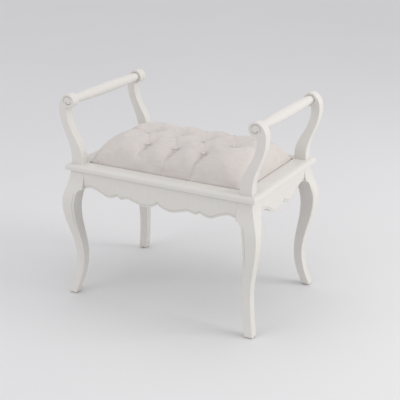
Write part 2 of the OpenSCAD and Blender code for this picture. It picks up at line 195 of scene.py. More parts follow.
paper, tree, coords = new_material("matt studio paper")
mottle = add(tree, "ShaderNodeTexNoise", {"Scale": MOTTLE, "Detail": 2.0}, {"Vector": coords})
grey = blend(tree, mottle.outputs["Fac"], srgb("#dededf"), srgb("#e3e3e3"))
close_material(tree, {"Base Color": grey}, Roughness=0.9, IOR=1.45)
bm = bmesh.new()
bmesh.ops.create_grid(bm, x_segments=1, y_segments=1, size=FLOOR_REACH)
floor_mesh = bpy.data.meshes.new("floor")
bm.to_mesh(floor_mesh)
bm.free()
floor_mesh.materials.append(paper)
floor = bpy.data.objects.new("floor", floor_mesh)
bpy.context.collection.objects.link(floor)
print("floor laid")

# %% [markdown]
# ## Off-white paint
# The joinery is sprayed and rubbed down, then brushed by hand with a satin
# off-white paint. That gives the eye three things: a colour that drifts a little
# from warm to cool, faint brush lines a millimetre or two apart, and a soft sheen
# that is patchy where the paint lies thicker. The hollows are darkened with painted shade.

# %% Painted wood
BRUSH_SPACING, PEEL_SPACING = 1.6 * MM, 2.4 * MM
SHADE_REACH = 6 * MM  # how close two faces must be for the painted shade to darken them
PAINT_DEPTH = 0.2 * MM

painted, tree, coords = new_material("satin off-white paint on wood")
drift = add(tree, "ShaderNodeTexNoise", {"Scale": 7.0, "Detail": 3.0}, {"Vector": coords})
stretch = add(tree, "ShaderNodeMapping", {"Scale": (1.0, 1.0, 0.06)}, {"Vector": coords})
brush = add(tree, "ShaderNodeTexNoise", {"Scale": 0.5 / BRUSH_SPACING, "Detail": 2.0},
            {"Vector": stretch.outputs["Vector"]})
peel = add(tree, "ShaderNodeTexNoise", {"Scale": 0.5 / PEEL_SPACING, "Detail": 1.0}, {"Vector": coords})
hollow_shade = add(tree, "ShaderNodeAmbientOcclusion", {"Distance": SHADE_REACH}, samples=6, only_local=True)
colour = blend(tree, drift.outputs["Fac"], srgb("#dfdcd7"), srgb("#d9d6d1"))
colour = blend(tree, remap(tree, brush.outputs["Fac"], 0.35, 0.75, 0.0, 0.35), colour, srgb("#d2cfc9"))
# Painted shade: hollows found by ambient occlusion are darkened in the paint's own colour.
colour = blend(tree, remap(tree, hollow_shade.outputs["AO"], 0.3, 0.95), srgb("#cbc7be"), colour)
height = add(tree, "ShaderNodeMath", {1: 0.6}, {0: brush.outputs["Fac"], 2: peel.outputs["Fac"]},
             operation="MULTIPLY_ADD")
grain = add(tree, "ShaderNodeBump", {"Strength": 0.14, "Distance": PAINT_DEPTH},
            {"Height": height.outputs[0]})
close_material(tree, {
    "Base Color": colour,
    "Roughness": remap(tree, drift.outputs["Fac"], 0.3, 0.7, 0.36, 0.50),
    "Normal": grain.outputs["Normal"],
}, IOR=1.5, Coat_Weight=0.15, Coat_Roughness=0.35)
print(painted.name)

# %% [markdown]
# ## Bare wood
# Inside the seat nothing is painted. The corner blocks and dowels are sanded
# softwood, with growth rings drawn out along the grain, and the seat board is
# plywood, drawn the same way with its rings further apart.


# %% Raw wood
PORES = 900.0  # cells of the pores' noise to a metre
PORE_DEPTH = 0.2 * MM


def raw_wood(name, light, dark, along, band):
    """Bare timber whose grain runs along one axis, with growth rings a band apart."""
    material, tree, coords = new_material(name)
    scale = tuple(0.08 if i == along else 1.0 for i in range(3))
    drawn = add(tree, "ShaderNodeMapping", {"Scale": scale}, {"Vector": coords})
    rings = add(tree, "ShaderNodeTexWave", {"Scale": 0.16 / band, "Distortion": 7.0, "Detail": 2.0},
                {"Vector": drawn.outputs["Vector"]}, bands_direction="DIAGONAL")
    pores = add(tree, "ShaderNodeTexNoise", {"Scale": PORES, "Detail": 2.0},
                {"Vector": drawn.outputs["Vector"]})
    wood = blend(tree, rings.outputs["Fac"], srgb(light), srgb(dark))
    wood = blend(tree, remap(tree, pores.outputs["Fac"], 0.45, 0.7, 0.0, 0.4), wood, srgb(dark))
    bump = add(tree, "ShaderNodeBump", {"Strength": 0.25, "Distance": PORE_DEPTH},
               {"Height": pores.outputs["Fac"]})
    close_material(tree, {"Base Color": wood, "Normal": bump.outputs["Normal"]}, Roughness=0.72, IOR=1.5)
    return material


softwood = raw_wood("sanded softwood", "#d9bd8f", "#b58f5c", 0, 4 * MM)
plywood = raw_wood("birch plywood", "#d8c09a", "#bd9d6e", 0, 9 * MM)
print(softwood.name, "and", plywood.name)

# %% [markdown]
# ## Linen
# The seat is covered in a plain-woven cotton and linen cloth. Warp and weft pass
# over and under each other, which shows as a fine basket of raised threads and
# as slubs, the places where a thread is thicker. A real thread is about half a
# millimetre wide; it is drawn here at two, so that the weave can be seen at all.
# The cloth has no map of its own after it has been puffed up, so the weave is laid
# on from above, from the front and from the side, and the three are mixed by the
# way that the surface faces.

# %% Linen
THREAD = 2.0 * MM
KNUCKLE = 0.35  # how much a crossing rises beside its threads
SLUBS, SOILING = 160.0, 9.0  # cells to a metre
WEAVE_DEPTH = 0.35 * MM

linen, tree, coords = new_material("woven linen upholstery cloth")
facing = add(tree, "ShaderNodeSeparateXYZ", links={0: add(tree, "ShaderNodeTexCoord").outputs["Normal"]})
spot = add(tree, "ShaderNodeSeparateXYZ", links={0: coords})


def math_node(operation, first, second=0.0, third=0.0):
    """One arithmetic step in the linen's tree, on sockets or numbers."""
    made = add(tree, "ShaderNodeMath", operation=operation)
    for index, value in enumerate((first, second, third)):
        if isinstance(value, bpy.types.NodeSocket):
            tree.links.new(value, made.inputs[index])
        else:
            made.inputs[index].default_value = value
    return made.outputs[0]


def weave(across, along):
    """Height of a plain weave over two coordinates: threads that rise by turns."""
    turn = math.pi / THREAD
    warp = math_node("SINE", math_node("MULTIPLY", across, turn))
    weft = math_node("SINE", math_node("MULTIPLY", along, turn))
    crossing = math_node("MULTIPLY", warp, weft)
    rib = math_node("ADD", math_node("ABSOLUTE", warp), math_node("ABSOLUTE", weft))
    return math_node("MULTIPLY_ADD", crossing, KNUCKLE, rib)


weights = [math_node("POWER", math_node("ABSOLUTE", facing.outputs[axis]), 4.0) for axis in range(3)]
threads = [weave(spot.outputs[1], spot.outputs[2]), weave(spot.outputs[0], spot.outputs[2]),
           weave(spot.outputs[0], spot.outputs[1])]
cloth = math_node("MULTIPLY", threads[0], weights[0])
cloth = math_node("MULTIPLY_ADD", threads[1], weights[1], cloth)
cloth = math_node("MULTIPLY_ADD", threads[2], weights[2], cloth)
total = math_node("ADD", math_node("ADD", weights[0], weights[1]), weights[2])
cloth = math_node("DIVIDE", cloth, total)
drawn_out = add(tree, "ShaderNodeMapping", {"Scale": (0.15, 1.0, 1.0)}, {"Vector": coords})
slub = add(tree, "ShaderNodeTexNoise", {"Scale": SLUBS, "Detail": 3.0}, {"Vector": drawn_out.outputs[0]})
soil = add(tree, "ShaderNodeTexNoise", {"Scale": SOILING, "Detail": 3.0}, {"Vector": coords})
colour = blend(tree, soil.outputs["Fac"], srgb("#d7d1cc"), srgb("#cec7c3"))
colour = blend(tree, remap(tree, slub.outputs["Fac"], 0.35, 0.7, 0.0, 0.45), colour, srgb("#e0dad6"))
# Painted shade: the low places of the weave, between the threads, are darkened in the cloth's colour.
colour = blend(tree, remap(tree, cloth, 0.2, 1.6, 0.5, 0.0), colour, srgb("#bab0a9"))
relief = math_node("MULTIPLY_ADD", slub.outputs["Fac"], 0.8, cloth)
woven = add(tree, "ShaderNodeBump", {"Strength": 0.45, "Distance": WEAVE_DEPTH}, {"Height": relief})
close_material(tree, {"Base Color": colour, "Normal": woven.outputs["Normal"]},
               Roughness=0.9, IOR=1.45, Sheen_Weight=0.25, Sheen_Roughness=0.5)
print(linen.name, "threads", THREAD / MM, "mm")

# %% [markdown]
# ## Small materials
# Zinc-plated screws are a bluish metal with a fine tumbled grain. The glides are
# moulded plastic, slightly pitted. The dust cover is a black cloth of fibres that
# are pressed, not woven. The twine is twisted and waxed.


# %% Steel, plastic, dust cloth, twine and foam
def speckled(name, low, high, grit, depth, **values):
    """A material with a grain of one size, in its colour and in its surface."""
    material, tree, coords = new_material(name)
    grain = add(tree, "ShaderNodeTexNoise", {"Scale": 0.5 / grit, "Detail": 3.0}, {"Vector": coords})
    bump = add(tree, "ShaderNodeBump", {"Strength": 0.4, "Distance": depth}, {"Height": grain.outputs["Fac"]})
    close_material(tree, {
        "Base Color": blend(tree, remap(tree, grain.outputs["Fac"], 0.3, 0.7), srgb(low), srgb(high)),
        "Normal": bump.outputs["Normal"],
    }, **values)
    return material


zinc = speckled("zinc-plated steel", "#a9adb3", "#c9ccd1", 0.4 * MM, 0.02 * MM, Roughness=0.34, Metallic=1.0)
glide_plastic = speckled("moulded polyethylene", "#a8a49c", "#b4b0a8", 0.8 * MM, 0.05 * MM,
                         Roughness=0.5, IOR=1.5)
dust_cloth = speckled("pressed black dust cloth", "#17171a", "#2c2c31", 1.2 * MM, 0.3 * MM,
                      Roughness=0.95, IOR=1.45)
twine = speckled("waxed twine", "#b09a73", "#c9b58e", 0.6 * MM, 0.2 * MM, Roughness=0.7, IOR=1.45)
foam = speckled("cut upholstery foam", "#d9c98f", "#ece0b0", 1.5 * MM, 0.4 * MM, Roughness=0.95, IOR=1.45)
print("small materials made")

# %% [markdown]
# ## Dressing the frame's own nodes
# Pieces hidden inside the bench keep their CAD shape and only get a finish.

# %% Finish the hidden pieces
SLOT_MATERIALS = {
    "painted_wood": painted, "raw_wood": softwood, "seat_fabric": linen, "foam": foam,
    "twine": twine, "dust_cloth": dust_cloth, "screw_steel": zinc, "glide_plastic": glide_plastic,
}
for part in frame["record"]["subparts"]:
    node = frame["nodes"][part["node"]]
    material = plywood if part["node"] == "seat_board" else SLOT_MATERIALS[part["material_slot"]]
    for place in node.material_slots:
        place.material = material


# %% [markdown]
# ## Finishing a new piece
# Every new piece ends the same way: doubles are merged, its faces are turned
# outwards, it is shaded smooth except across real corners, and it rides on the
# bench's one body. A mirrored copy is turned inside out, so normals come last.

# %% Piece helper
SHARP = math.radians(38)
MERGE = 0.01 * MM  # points closer than this become one


def of_kind(geometry, kind):
    """The vertices, the edges or the faces among what an operator gave back."""
    return [item for item in geometry if isinstance(item, kind)]


def place_piece(bm, name, material, replaced, mirrored=(1, 1), even=True):
    """Turn a bmesh into a finished piece that stands for some CAD nodes."""
    bm = bm.copy()
    bmesh.ops.scale(bm, vec=(mirrored[0], mirrored[1], 1), verts=bm.verts)
    bmesh.ops.remove_doubles(bm, verts=bm.verts, dist=MERGE)
    bmesh.ops.recalc_face_normals(bm, faces=bm.faces)
    mesh = bpy.data.meshes.new(name)
    bm.to_mesh(mesh)
    bm.free()
    mesh.materials.append(material)
    mesh.shade_smooth()
    mesh.set_sharp_from_angle(angle=SHARP)
    piece = bpy.data.objects.new(name, mesh)
    bpy.context.collection.objects.link(piece)
    if even:
        piece.modifiers.new("even normals", "WEIGHTED_NORMAL").keep_sharp = True
    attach(piece, "root")
    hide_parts(*replaced)
    return piece


MIRRORS = {"front": (1, 1), "rear": (1, -1), "right": (1, 1), "left": (-1, 1)}


def place_painted(bm, name, node, sides):
    """Place a painted piece at each side named, mirrored as it must be, and free its bmesh."""
    for side in sides:
        place_piece(bm, f"{name}_{side}", painted, [f"{node}_{side}"], MIRRORS[side])
    bm.free()


def ease(t):
    """Go from 0 to 1 along half a cosine."""
    return (1 - math.cos(math.pi * min(max(t, 0.0), 1.0))) / 2


# %% [markdown]
# ## Cabriole legs
# A cabriole leg is sawn from a square blank, once from the front and once from the
# side, so at every height it is a rectangle. The knee swells out, the ankle pulls
# in, and the toe kicks out again. Under the apron an ear widens the inner side.
# The blank's corners are eased with sandpaper, and a carved line follows the
# inner edge. Here a ring of that section is extruded up the leg, a step at a time.

# %% Leg values
LEG_W = 50 * MM  # the square top block
ANKLE_W = 28 * MM
KNEES = (24 * MM, 21.5 * MM)  # out past the side aprons, and past the front one
ANKLES = (5 * MM, 7.5 * MM)  # in behind them
TOE = 16.5 * MM
KNEE_Z, ANKLE_Z = under - 111 * MM, 128 * MM
EAR_TOPS = (under - 59 * MM, under - 46 * MM)
EAR_H = 33 * MM
SLIM_Z, FULL_Z = 0.8 * ANKLE_Z, under - 30 * MM


def leg_outer(z, side):
    """How far the leg's outer face stands out past the aprons at a height."""
    knee, ankle = KNEES[side], ANKLES[side]
    if z < ANKLE_Z:
        return -ankle + (TOE + ankle) * (1 - math.cos(math.pi / 2 * (ANKLE_Z - z) / (ANKLE_Z - foot)))
    if z < KNEE_Z:
        return -ankle + (knee + ankle) * ease((z - ANKLE_Z) / (KNEE_Z - ANKLE_Z))
    return knee * (1 - ease((z - KNEE_Z) / (under - KNEE_Z)))


def leg_inner(z, side):
    """The same for its inner face, with the ear."""
    top = EAR_TOPS[side]
    if z >= top:
        return -LEG_W

    def plain(height):
        swell = (LEG_W - ANKLE_W) * ease((height - SLIM_Z) / (FULL_Z - SLIM_Z))
        return leg_outer(height, side) - ANKLE_W - swell

    if z > top - EAR_H:
        a = math.acos(1 - (top - z) / EAR_H)
        return -LEG_W + (LEG_W + plain(top - EAR_H)) * math.sin(a)
    return plain(z)


# %% Leg section
EASED = 1.8 * MM  # radius of the sanded corners
CARVE_IN = 6 * MM  # from the inner edge to the carved line
CARVE_W, CARVE_DEPTH = 3 * MM, 1.3 * MM
CARVE_START, CARVE_DEEPENS = 0.16, 0.12  # height where the line starts, and how it grows in
CARVE_STOP, CARVE_FADES = 4 * MM, 20 * MM  # how far under the ear it ends, and how it fades


def leg_section(x0, x1, y0, y1, depth):
    """Corners of the leg's section, with a shallow line carved in its two outer faces."""
    arc = [math.radians(a) for a in (0, 30, 60, 90)]
    ring = []

    def corner(cx, cy, start):
        ring.extend((cx + EASED * math.cos(start + a), cy + EASED * math.sin(start + a)) for a in arc)

    corner(x1 - EASED, y0 + EASED, -math.pi / 2)
    ring.extend([(x1, y0 + CARVE_IN), (x1 - depth, y0 + CARVE_IN + CARVE_W / 3),
                 (x1 - depth, y0 + CARVE_IN + 2 * CARVE_W / 3), (x1, y0 + CARVE_IN + CARVE_W)])
    corner(x1 - EASED, y1 - EASED, 0)
    ring.extend([(x0 + CARVE_IN + CARVE_W, y1), (x0 + CARVE_IN + 2 * CARVE_W / 3, y1 - depth),
                 (x0 + CARVE_IN + CARVE_W / 3, y1 - depth), (x0 + CARVE_IN, y1)])
    corner(x0 + EASED, y1 - EASED, math.pi / 2)
    corner(x0 + EASED, y0 + EASED, math.pi)
    return ring


# %% Build the legs
LEG_STEPS = 56
QUARTER_ROUND = [math.radians(a) for a in range(0, 91, 9)]

levels = {foot + (under - foot) * i / LEG_STEPS for i in range(LEG_STEPS + 1)}
levels |= {top - EAR_H * (1 - math.cos(a)) for top in EAR_TOPS for a in QUARTER_ROUND}
levels = sorted(levels)
section_size = len(leg_section(0, 1, 0, 1, 0))
bm = bmesh.new()
slot_of = bm.verts.layers.int.new("corner")
made = bmesh.ops.create_circle(bm, cap_ends=True, segments=section_size, radius=LEG_W)
for i, vert in enumerate(made["verts"]):
    vert[slot_of] = i
bm.faces.ensure_lookup_table()
top_face = bm.faces[0]
for index, z in enumerate(levels):
    if index:
        grown = bmesh.ops.extrude_face_region(bm, geom=[top_face])["geom"]
        top_face = of_kind(grown, bmesh.types.BMFace)[0]
    groove = CARVE_DEPTH * ease((z - CARVE_START) / CARVE_DEEPENS)
    groove *= ease((min(EAR_TOPS) - CARVE_STOP - z) / CARVE_FADES)
    ring = leg_section(face_x + leg_inner(z, 0), face_x + leg_outer(z, 0),
                       face_y + leg_inner(z, 1), face_y + leg_outer(z, 1), groove)
    for vert in top_face.verts:
        vert.co = (*ring[vert[slot_of]], z)
open_rims = [e for e in bm.edges if e.is_boundary]
if open_rims:
    bmesh.ops.holes_fill(bm, edges=open_rims)
for corner, sign in CORNERS.items():
    place_piece(bm, f"cabriole_leg_{corner}", painted, [f"leg_{corner}"], sign)
bm.free()
print("legs:", len(levels), "rings of", section_size)

# %% [markdown]
# ## Scalloped aprons
# An apron is a board with a fretsawn lower edge. Its scallops meet in small cusps,
# and a V-tool has carved a line that follows them a few millimetres up, which
# leaves a bead along the edge. The board starts as a flat grid: each column of the
# grid stands on the scalloped line, and its rows are bent in to make the rounded
# edge and the carved line. Then the whole face is extruded back.


# %% Apron outlines
def curve_through(points, count):
    """A smooth curve through points, as the frame's own outline has it."""
    result = []
    for i in range(len(points) - 1):
        a, b, c, d = (points[min(max(i + k, 0), len(points) - 1)] for k in (-1, 0, 1, 2))
        for j in range(count):
            t = j / count
            result.append(tuple(
                q + (r - p) * t / 2
                + (2 * p - 5 * q + 4 * r - s) * t * t / 2
                + (3 * q - p - 3 * r + s) * t ** 3 / 2
                for p, q, r, s in zip(a, b, c, d)))
    return result + [points[-1]]


# Each point is a share of the way from the middle cusp to the leg, and a depth in
# millimetres below the seat frame. Scallops that share an end meet there in a cusp.
LONG_SCALLOPS = [
    [(0, 61), (0.05, 71), (0.165, 79), (0.28, 73.5), (0.385, 65.5), (0.44, 67.5), (0.49, 71), (0.542, 63)],
    [(0.542, 63), (0.60, 70), (0.678, 72.5), (0.77, 62), (0.88, 52), (0.95, 54), (1, 59)],
]
SHORT_SCALLOPS = [[(0, 62), (0.08, 71), (0.29, 80), (0.50, 70), (0.68, 52), (0.82, 44), (0.93, 43), (1, 46)]]
SIDE_CUSP = 12 * MM  # the side aprons' cusp stands behind the middle
SCALLOP_STEPS = 8
STATION_GAP = 0.05 * MM  # stations closer than this are one


def apron_edge(scallops, cusp, half):
    """Stations along an apron's lower edge, from its left end to its right end."""
    side = [p for scallop in scallops for p in curve_through(scallop, SCALLOP_STEPS)]
    right = [(cusp + u * (half - cusp), depth * MM) for u, depth in side]
    left = [(cusp - u * (half + cusp), depth * MM) for u, depth in side]
    line = left[::-1] + right[1:]
    return [p for i, p in enumerate(line) if i == 0 or abs(p[0] - line[i - 1][0]) > STATION_GAP]


# %% Build an apron
APRON_T = 20 * MM
# Height above the scalloped edge and depth behind the face, in millimetres: the
# rounded edge, the bead, the carved line and the flat face above it.
APRON_ROWS = [
    (0, 2.2), (0.6, 0.9), (1.8, 0.15), (3.0, 0), (4.6, 0.2), (5.6, 1.5), (6.6, 1.9),
    (7.6, 1.5), (8.8, 0.1), (11, 0), (18, 0), (28, 0),
]


def build_apron(line):
    """A carved apron along X, with its face at y = 0 and its body behind it, at +y."""
    bm = bmesh.new()
    rows = len(APRON_ROWS) + 1
    bmesh.ops.create_grid(bm, x_segments=len(line) - 1, y_segments=rows - 1, size=0.5)
    for vert in bm.verts:
        column = round((vert.co.x + 0.5) * (len(line) - 1))
        row = round((vert.co.y + 0.5) * (rows - 1))
        x, depth = line[column]
        if row == rows - 1:
            vert.co = (x, 0, under)
        else:
            rise, back = APRON_ROWS[row]
            vert.co = (x, back * MM, under - depth + rise * MM)
    grown = bmesh.ops.extrude_face_region(bm, geom=bm.faces[:])["geom"]
    for vert in of_kind(grown, bmesh.types.BMVert):
        vert.co.y = APRON_T
    return bm


bm = build_apron(apron_edge(LONG_SCALLOPS, 0, face_x - LEG_W))
bmesh.ops.translate(bm, vec=(0, -face_y, 0), verts=bm.verts)
place_painted(bm, "scalloped_apron", "apron", ("front", "rear"))
bm = build_apron(apron_edge(SHORT_SCALLOPS, SIDE_CUSP, face_y - LEG_W))
bmesh.ops.rotate(bm, matrix=Matrix.Rotation(math.pi / 2, 3, "Z"), verts=bm.verts)
bmesh.ops.translate(bm, vec=(face_x, 0, 0), verts=bm.verts)
place_painted(bm, "scalloped_apron", "apron", ("right", "left"))
print("aprons carved")

# %% [markdown]
# ## The moulded seat frame
# Four lengths of moulding are mitred round the seat. A moulding is one section
# pushed along a line, so the section is drawn as a face, extruded, and its two
# ends are cut off at 45 degrees or so with bisect_plane.

# %% Seat frame
LONG_W, SHORT_W = 48 * MM, 58 * MM  # widths of the front rail and of a side rail
EDGE_RUN, EDGE_RISE = 16 * MM, 9 * MM  # the quarter round of the upper edge
UNDER_R, INNER_R = 4 * MM, 1.5 * MM  # the roundings under it and at the cushion
open_x, open_y = half_l - SHORT_W, half_d - LONG_W
MITRE_LINE = 0.15 * MM  # a hairline shows where two rails meet


def build_rail(width, length, cut):
    """A rail along X with its moulded edge at y = 0 and its inner edge at y = +width."""
    bm = bmesh.new()
    section = [(width, under), (UNDER_R, under)]
    for a in QUARTER_ROUND[1:]:
        section.append((UNDER_R - UNDER_R * math.sin(a), under + UNDER_R - UNDER_R * math.cos(a)))
    for a in QUARTER_ROUND:
        section.append((EDGE_RUN - EDGE_RUN * math.cos(a), deck - EDGE_RISE + EDGE_RISE * math.sin(a)))
    for a in QUARTER_ROUND[::2]:
        section.append((width - INNER_R + INNER_R * math.sin(a), deck - INNER_R + INNER_R * math.cos(a)))
    face = bm.faces.new([bm.verts.new((-length, y, z)) for y, z in section])
    grown = bmesh.ops.extrude_face_region(bm, geom=[face])["geom"]
    bmesh.ops.translate(bm, vec=(2 * length, 0, 0), verts=of_kind(grown, bmesh.types.BMVert))
    for side in (-1, 1):
        normal = Vector((side * width, cut, 0)).normalized()
        out = bmesh.ops.bisect_plane(bm, geom=bm.verts[:] + bm.edges[:] + bm.faces[:],
                                     plane_co=(side * (length - MITRE_LINE), 0, 0),
                                     plane_no=normal, clear_outer=True)
        bmesh.ops.edgeloop_fill(bm, edges=of_kind(out["geom_cut"], bmesh.types.BMEdge))
    return bm


bm = build_rail(LONG_W, half_l, SHORT_W)
bmesh.ops.translate(bm, vec=(0, -half_d, 0), verts=bm.verts)
place_painted(bm, "moulded_rail", "top_rail", ("front", "rear"))
bm = build_rail(SHORT_W, half_d, LONG_W)
bmesh.ops.rotate(bm, matrix=Matrix.Rotation(math.pi / 2, 3, "Z"), verts=bm.verts)
bmesh.ops.translate(bm, vec=(half_l, 0, 0), verts=bm.verts)
place_painted(bm, "moulded_rail", "top_rail", ("right", "left"))
print("seat frame mitred, opening", round(2 * open_x / MM), "x", round(2 * open_y / MM), "mm")

# %% [markdown]
# ## Arm posts
# Each post is bandsawn from a thick board: an S that leans out and ends in a
# volute, a scroll that curls back inwards. Its outline is drawn once, filled,
# extruded through the thickness, and its rim is eased with a small bevel. The
# volute's spiral is then cut with a veiner gouge: a thin tube is swept along a
# spiral, and a Boolean takes it out of both faces. A turned eye sits in the middle.

# %% Post outline
POST_W, NECK_W, POST_T = 40 * MM, 28 * MM, 31 * MM
LEAN = 40 * MM  # how far the neck stands out past the foot
NECK_H, STRAIGHT_H = 170 * MM, 20 * MM
SLIM_H = NECK_H - 40 * MM  # from here up the post is no wider than its neck
SCROLL_R = 22 * MM
POST_STEPS, VOLUTE_STEPS = 34, 24
VOLUTE_TOP = 90  # degrees, where the neck has run into the scroll's circle
VOLUTE_POWER = 3.2  # how quickly it runs in
post_x = half_l - EDGE_RUN - POST_W / 2
post_y = half_d - EDGE_RUN - POST_T / 2
rail_low, rail_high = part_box("arm_rail_right")
scroll = Vector(((rail_low.x + rail_high.x) / 2, (rail_low.z + rail_high.z) / 2))


def post_outer(h):
    """Outer edge of a post at a height above the seat frame."""
    return post_x + POST_W / 2 + LEAN * ease((h - STRAIGHT_H) / (NECK_H - STRAIGHT_H))


def post_inner(h):
    """Its inner edge."""
    return post_outer(h) - POST_W + (POST_W - NECK_W) * ease((h - STRAIGHT_H) / (SLIM_H - STRAIGHT_H))


def round_scroll(radius, degrees):
    """A point in X and Z at an angle round the scroll's centre."""
    a = math.radians(degrees)
    return (scroll.x + radius * math.cos(a), scroll.y + radius * math.sin(a))


def post_outline():
    """The outline in X and Z: up the outer edge, round the volute and down the inner edge."""
    reach = Vector((post_outer(NECK_H) - scroll.x, deck + NECK_H - scroll.y))
    start = math.degrees(math.atan2(reach.y, reach.x))
    heights = [NECK_H * i / POST_STEPS for i in range(POST_STEPS)]
    line = [(post_outer(h), deck + h) for h in heights]
    for i in range(VOLUTE_STEPS + 1):
        a = start + (VOLUTE_TOP - start) * i / VOLUTE_STEPS
        left = max(0.0, (VOLUTE_TOP - a) / (VOLUTE_TOP - start))
        line.append(round_scroll(SCROLL_R + (reach.length - SCROLL_R) * left ** VOLUTE_POWER, a))
    line += [round_scroll(SCROLL_R, a) for a in range(98, 283, 8)]
    line += [(post_inner(h), deck + h) for h in reversed(heights)]
    return line


# %% Sweep and Boolean helpers
def sweep(path, radii, sides=10):
    """A closed tube round a path that lies in one XZ plane."""
    bm = bmesh.new()
    turn = bm.verts.layers.float.new("turn")
    for i, vert in enumerate(bmesh.ops.create_circle(bm, cap_ends=True, segments=sides, radius=1)["verts"]):
        vert[turn] = 2 * math.pi * i / sides
    bm.faces.ensure_lookup_table()
    cap = bm.faces[0]
    for i, centre in enumerate(path):
        if i:
            grown = bmesh.ops.extrude_face_region(bm, geom=[cap])["geom"]
            cap = of_kind(grown, bmesh.types.BMFace)[0]
        ahead = (path[min(i + 1, len(path) - 1)] - path[max(i - 1, 0)]).normalized()
        across = Vector((-ahead.z, 0, ahead.x))
        for vert in cap.verts:
            angle = vert[turn]
            outwards = math.cos(angle) * across + math.sin(angle) * Vector((0, 1, 0))
            vert.co = centre + radii[i] * outwards
    rims = [e for e in bm.edges if e.is_boundary]
    if rims:
        bmesh.ops.holes_fill(bm, edges=rims)
    bmesh.ops.recalc_face_normals(bm, faces=bm.faces)
    return bm


def scratch_object(bm, name):
    """A helper object that is thrown away after use."""
    mesh = bpy.data.meshes.new(name)
    bm.to_mesh(mesh)
    bm.free()
    made = bpy.data.objects.new(name, mesh)
    bpy.context.collection.objects.link(made)
    return made


def applied(piece):
    """The piece's mesh with its modifiers applied."""
    depsgraph = bpy.context.evaluated_depsgraph_get()
    return bpy.data.meshes.new_from_object(piece.evaluated_get(depsgraph))


def carve(bm, cutters):
    """Take cutters away from a solid and give back the carved bmesh."""
    block = scratch_object(bm, "block")
    tools = [scratch_object(cutter, "gouge") for cutter in cutters]
    for tool in tools:
        cut = block.modifiers.new("cut", "BOOLEAN")
        cut.operation, cut.solver, cut.object = "DIFFERENCE", "EXACT", tool
    mesh = applied(block)
    result = bmesh.new()
    result.from_mesh(mesh)
    for made in [block] + tools:
        bpy.data.meshes.remove(made.data)
    bpy.data.meshes.remove(mesh)
    return result


# %% Carve a post
POST_EASED = 1.6 * MM  # width of the bevel round the post's two flat sides
GOUGE_R, GOUGE_OUT = 3.6 * MM, 2.6 * MM  # its radius, and how far its middle stays outside
SPIRAL_STEPS = 60
SPIRAL_FROM, SPIRAL_TURN = -70, 450  # degrees
SPIRAL_OUTER, SPIRAL_INNER = SCROLL_R - 3 * MM, 9 * MM
SPIRAL_POWER = 0.75
GOUGE_TIP = 0.25  # share of the radius at the two ends of the cut
TIP_STEPS_OUTER, TIP_STEPS_INNER = 10, 8  # steps in which the cut would widen by a whole radius

outline = post_outline()
bm = bmesh.new()
face = bm.faces.new([bm.verts.new((x, -post_y - POST_T / 2, z)) for x, z in outline])
grown = bmesh.ops.extrude_face_region(bm, geom=[face])["geom"]
bmesh.ops.translate(bm, vec=(0, POST_T, 0), verts=of_kind(grown, bmesh.types.BMVert))
bmesh.ops.recalc_face_normals(bm, faces=bm.faces)
# The rim is every edge of the two flat sides, which have many corners, but for those on the deck.
rim = [e for e in bm.edges if len(e.link_faces) == 2 and any(len(f.verts) > 8 for f in e.link_faces)
       and e.verts[0].co.z + e.verts[1].co.z > 2 * deck + 0.1 * MM]
bmesh.ops.bevel(bm, geom=rim, offset=POST_EASED, segments=3, profile=0.5, affect="EDGES", material=-1,
                clamp_overlap=True)

spiral, radii = [], []
for i in range(SPIRAL_STEPS + 1):
    r = SPIRAL_OUTER - (SPIRAL_OUTER - SPIRAL_INNER) * (i / SPIRAL_STEPS) ** SPIRAL_POWER
    spiral.append(round_scroll(r, SPIRAL_FROM + SPIRAL_TURN * i / SPIRAL_STEPS))
    radii.append(GOUGE_R * min(1, GOUGE_TIP + i / TIP_STEPS_OUTER,
                               GOUGE_TIP + (SPIRAL_STEPS - i) / TIP_STEPS_INNER))
gouges = [sweep([Vector((x, -post_y + side * (POST_T / 2 + GOUGE_OUT), z)) for x, z in spiral], radii)
          for side in (-1, 1)]
bm = carve(bm, gouges)
print("post carved:", len(bm.faces), "faces")


# %% Turned eyes and the four posts
def turned(profile, centre, axis, steps=40):
    """Spin a profile of (radius, height) pairs round an axis through a centre."""
    bm = bmesh.new()
    towards = Vector(axis)
    side = towards.orthogonal().normalized()
    verts = [bm.verts.new(Vector(centre) + side * r + towards * h) for r, h in profile]
    edges = [bm.edges.new(pair) for pair in zip(verts, verts[1:])]
    bmesh.ops.spin(bm, geom=verts + edges, cent=centre, axis=towards, angle=2 * math.pi,
                   steps=steps, use_merge=True)
    bmesh.ops.remove_doubles(bm, verts=bm.verts, dist=MERGE / 2)
    bmesh.ops.recalc_face_normals(bm, faces=bm.faces)
    return bm


def join(bm, other):
    """Add another bmesh's geometry to a bmesh."""
    mesh = bpy.data.meshes.new("joined")
    other.to_mesh(mesh)
    other.free()
    bm.from_mesh(mesh)
    bpy.data.meshes.remove(mesh)


EYE_R, EYE_RISE, EYE_SUNK = 6.5 * MM, 1.0 * MM, 2 * MM
dome = [(EYE_R * math.cos(math.radians(a)), EYE_RISE * math.sin(math.radians(a))) for a in range(0, 90, 15)]
for side in (-1, 1):
    centre = (scroll.x, -post_y + side * POST_T / 2, scroll.y)
    eye = turned([(0, -EYE_SUNK), (EYE_R, -EYE_SUNK)] + dome + [(0, EYE_RISE)], centre, (0, side, 0))
    join(bm, eye)
for corner, (sx, sy) in CORNERS.items():
    place_piece(bm, f"scroll_post_{corner}", painted, [f"arm_post_{corner}"], (sx, -sy))
bm.free()
print("posts placed, scroll centre", [round(v / MM, 1) for v in scroll])

# %% [markdown]
# ## Hand rails
# The hand rails are turned on a lathe, fullest in the middle so that they fill a
# hand. A lathe is exactly what spin imitates: a profile goes once round an axis.

